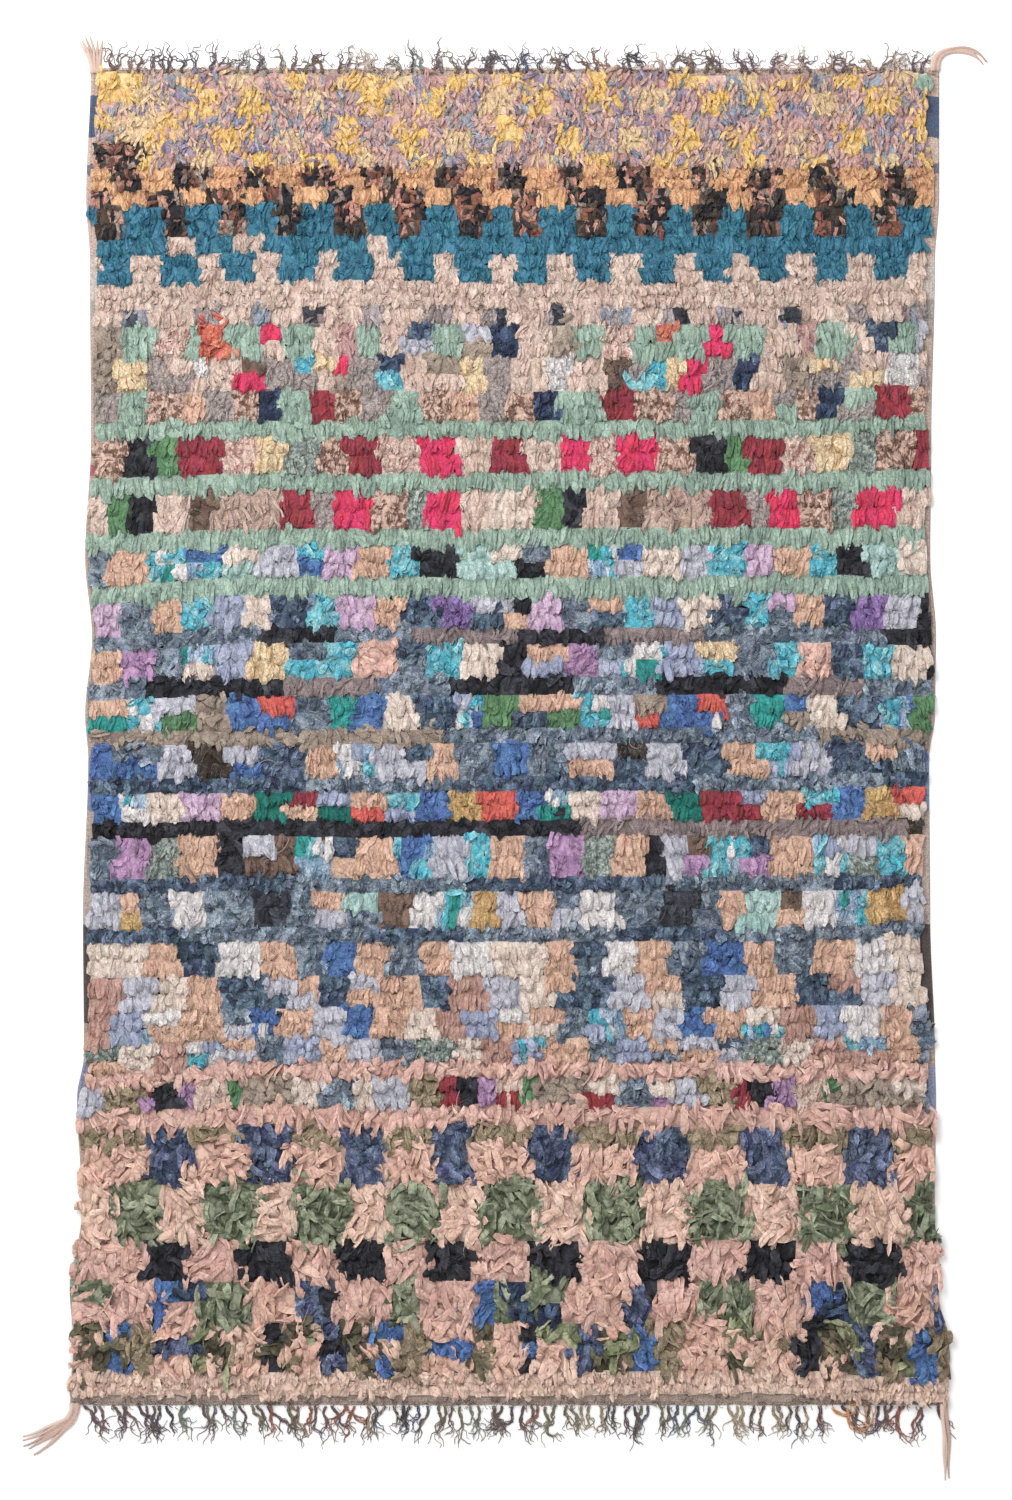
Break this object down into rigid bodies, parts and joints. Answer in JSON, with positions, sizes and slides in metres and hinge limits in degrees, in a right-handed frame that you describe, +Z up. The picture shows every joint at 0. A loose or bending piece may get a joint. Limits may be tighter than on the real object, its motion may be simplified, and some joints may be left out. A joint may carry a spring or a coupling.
{
  "type": "rag rug",
  "caption": "Rectangular boucherouite rug lying flat: lumpy knotted rag pile on a woven ground, with side selvedges, a short and a long warp fringe and corner tassels.",
  "frame": {"origin": "on the floor under the middle of the ground weave, on its flat underside", "axes": "+X across the rug, to the right when the short fringe is at the top; +Y along the rug towards the short fringe; +Z up, out of the pile"},
  "size_m": [1.8406, 2.7209, 0.0286],
  "materials": {
    "ground": "flat woven cotton and wool",
    "rag_pile": "cut and folded rag strips, matt",
    "warp_fringe": "crinkled loose yarn",
    "selvedge_cord": "soft twisted cord"
  },
  "bodies": {
    "root": {"ground_weave": "ground", "pile": "rag_pile", "fringe_short": "warp_fringe", "fringe_long": "warp_fringe", "corner_tassel_short_left": "selvedge_cord", "corner_tassel_short_right": "selvedge_cord", "corner_tassel_long_left": "selvedge_cord", "corner_tassel_long_right": "selvedge_cord"}
  },
  "joints": []
}
